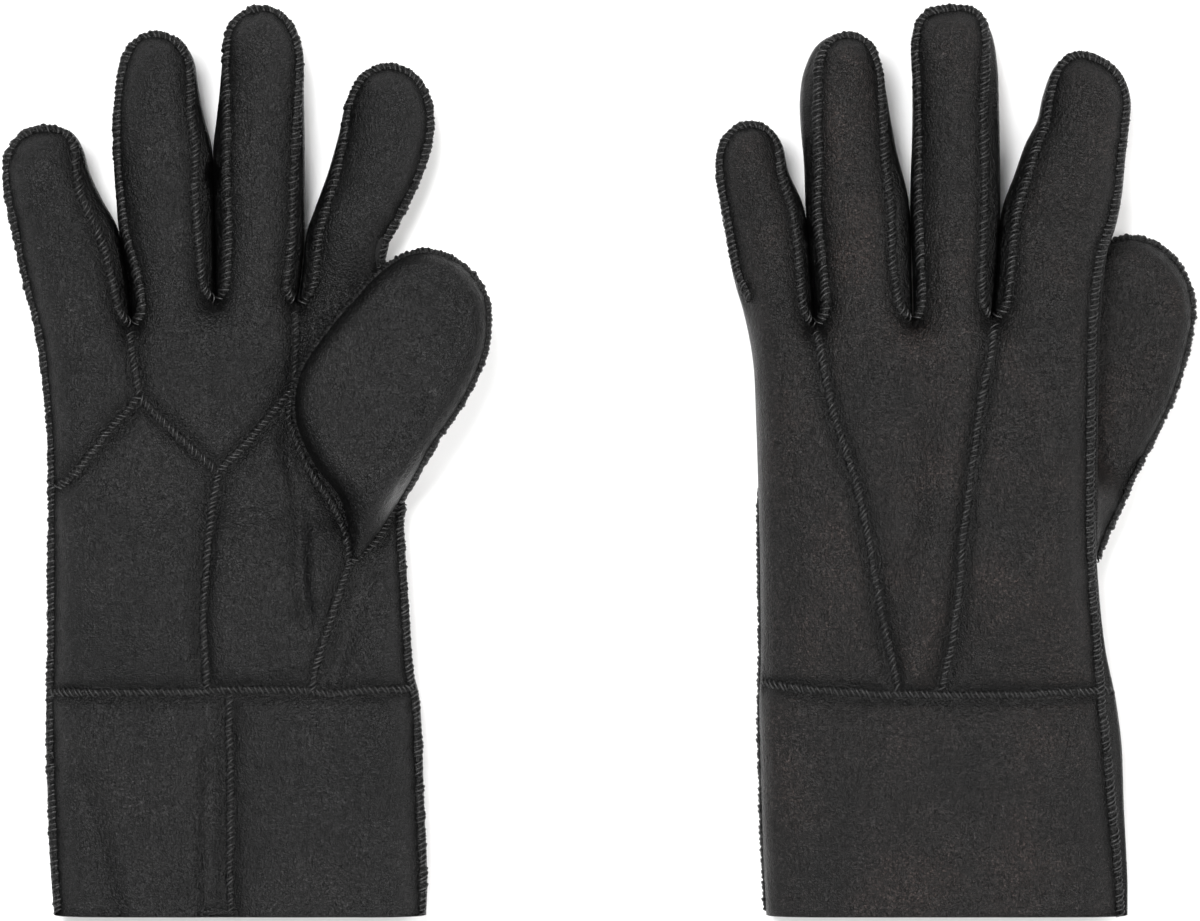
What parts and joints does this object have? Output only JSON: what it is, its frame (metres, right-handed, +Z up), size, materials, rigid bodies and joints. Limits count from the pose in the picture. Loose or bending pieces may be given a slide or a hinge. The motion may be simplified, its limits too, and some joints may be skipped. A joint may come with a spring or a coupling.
{
  "type": "pair of leather gloves",
  "caption": "Pair of short black lined leather gloves lying flat, one palm up and one back up, with fingers that bend and thumbs that swing out.",
  "frame": {"origin": "centre of the pair, on the surface that it lies on", "axes": "+X across the pair from the right-hand glove to the left-hand one, +Y towards the fingertips, +Z up"},
  "size_m": [0.3708, 0.283, 0.0352],
  "materials": {
    "leather": "satin fine-grained lambskin, near black",
    "gusset_leather": "the same skin on the strips between the fingers",
    "wool": "short dense curled pile, dyed near black"
  },
  "bodies": {
    "right_hand": {"right_little_side": "leather", "right_back_centre": "leather", "right_back_index": "leather", "right_palm_centre": "leather", "right_palm_index": "leather", "right_heel_outer": "leather", "right_heel_centre": "leather", "right_thumb_root": "leather", "right_cuff_back": "leather", "right_cuff_palm_outer": "leather", "right_cuff_palm_inner": "leather", "right_hand_lining": "wool"},
    "right_thumb": {"right_thumb_front": "leather", "right_thumb_back": "leather", "right_thumb_lining": "wool"},
    "right_little": {"right_little_wrap": "leather", "right_little_fourchette": "gusset_leather", "right_little_lining": "wool"},
    "right_ring": {"right_ring_palm": "leather", "right_ring_back": "leather", "right_ring_fourchettes": "gusset_leather", "right_ring_lining": "wool"},
    "right_middle": {"right_middle_palm": "leather", "right_middle_back": "leather", "right_middle_fourchettes": "gusset_leather", "right_middle_lining": "wool"},
    "right_index": {"right_index_palm": "leather", "right_index_back": "leather", "right_index_fourchette": "gusset_leather", "right_index_lining": "wool"},
    "left_hand": {"left_little_side": "leather", "left_back_centre": "leather", "left_back_index": "leather", "left_palm_centre": "leather", "left_palm_index": "leather", "left_heel_outer": "leather", "left_heel_centre": "leather", "left_thumb_root": "leather", "left_cuff_back": "leather", "left_cuff_palm_outer": "leather", "left_cuff_palm_inner": "leather", "left_hand_lining": "wool"},
    "left_thumb": {"left_thumb_front": "leather", "left_thumb_back": "leather", "left_thumb_lining": "wool"},
    "left_little": {"left_little_wrap": "leather", "left_little_fourchette": "gusset_leather", "left_little_lining": "wool"},
    "left_ring": {"left_ring_palm": "leather", "left_ring_back": "leather", "left_ring_fourchettes": "gusset_leather", "left_ring_lining": "wool"},
    "left_middle": {"left_middle_palm": "leather", "left_middle_back": "leather", "left_middle_fourchettes": "gusset_leather", "left_middle_lining": "wool"},
    "left_index": {"left_index_palm": "leather", "left_index_back": "leather", "left_index_fourchette": "gusset_leather", "left_index_lining": "wool"}
  },
  "joints": [
    {"name": "right_little_bend", "type": "hinge", "parent": "right_hand", "child": "right_little", "pos_m": [-0.16029, 0.03995, 0.025], "axis": [0.9707, 0.2402, 0], "range_deg": [0, 70]},
    {"name": "right_ring_bend", "type": "hinge", "parent": "right_hand", "child": "right_ring", "pos_m": [-0.13269, 0.0457, 0.02254], "axis": [0.9972, 0.075, 0], "range_deg": [0, 70]},
    {"name": "right_middle_bend", "type": "hinge", "parent": "right_hand", "child": "right_middle", "pos_m": [-0.10719, 0.04895, 0.02042], "axis": [0.9997, -0.0262, 0], "range_deg": [0, 70]},
    {"name": "right_index_bend", "type": "hinge", "parent": "right_hand", "child": "right_index", "pos_m": [-0.08049, 0.04995, 0.01831], "axis": [0.9699, -0.2436, 0], "range_deg": [0, 70]},
    {"name": "right_thumb_swing", "type": "hinge", "parent": "right_hand", "child": "right_thumb", "pos_m": [-0.06154, -0.01355, 0.02744], "axis": [0, 0, -1], "range_deg": [0, 25]},
    {"name": "left_little_bend", "type": "hinge", "parent": "left_hand", "child": "left_little", "pos_m": [0.05491, 0.0427, 0.02704], "axis": [0.9851, 0.1719, 0], "range_deg": [0, 40]},
    {"name": "left_ring_bend", "type": "hinge", "parent": "left_hand", "child": "left_ring", "pos_m": [0.08121, 0.04345, 0.02981], "axis": [0.9965, 0.0837, 0], "range_deg": [0, 40]},
    {"name": "left_middle_bend", "type": "hinge", "parent": "left_hand", "child": "left_middle", "pos_m": [0.10861, 0.04445, 0.03205], "axis": [0.9999, -0.0122, 0], "range_deg": [0, 40]},
    {"name": "left_index_bend", "type": "hinge", "parent": "left_hand", "child": "left_index", "pos_m": [0.13706, 0.04695, 0.03501], "axis": [0.981, -0.1942, 0], "range_deg": [0, 40]},
    {"name": "left_thumb_swing", "type": "hinge", "parent": "left_hand", "child": "left_thumb", "pos_m": [0.15826, -0.01355, 0.0065], "axis": [0, 0, -1], "range_deg": [0, 25]},
    {"name": "left_glove_slide", "type": "slide", "parent": "right_hand", "child": "left_hand", "axis": [1, 0, 0], "range_m": [0, 0.06]}
  ]
}
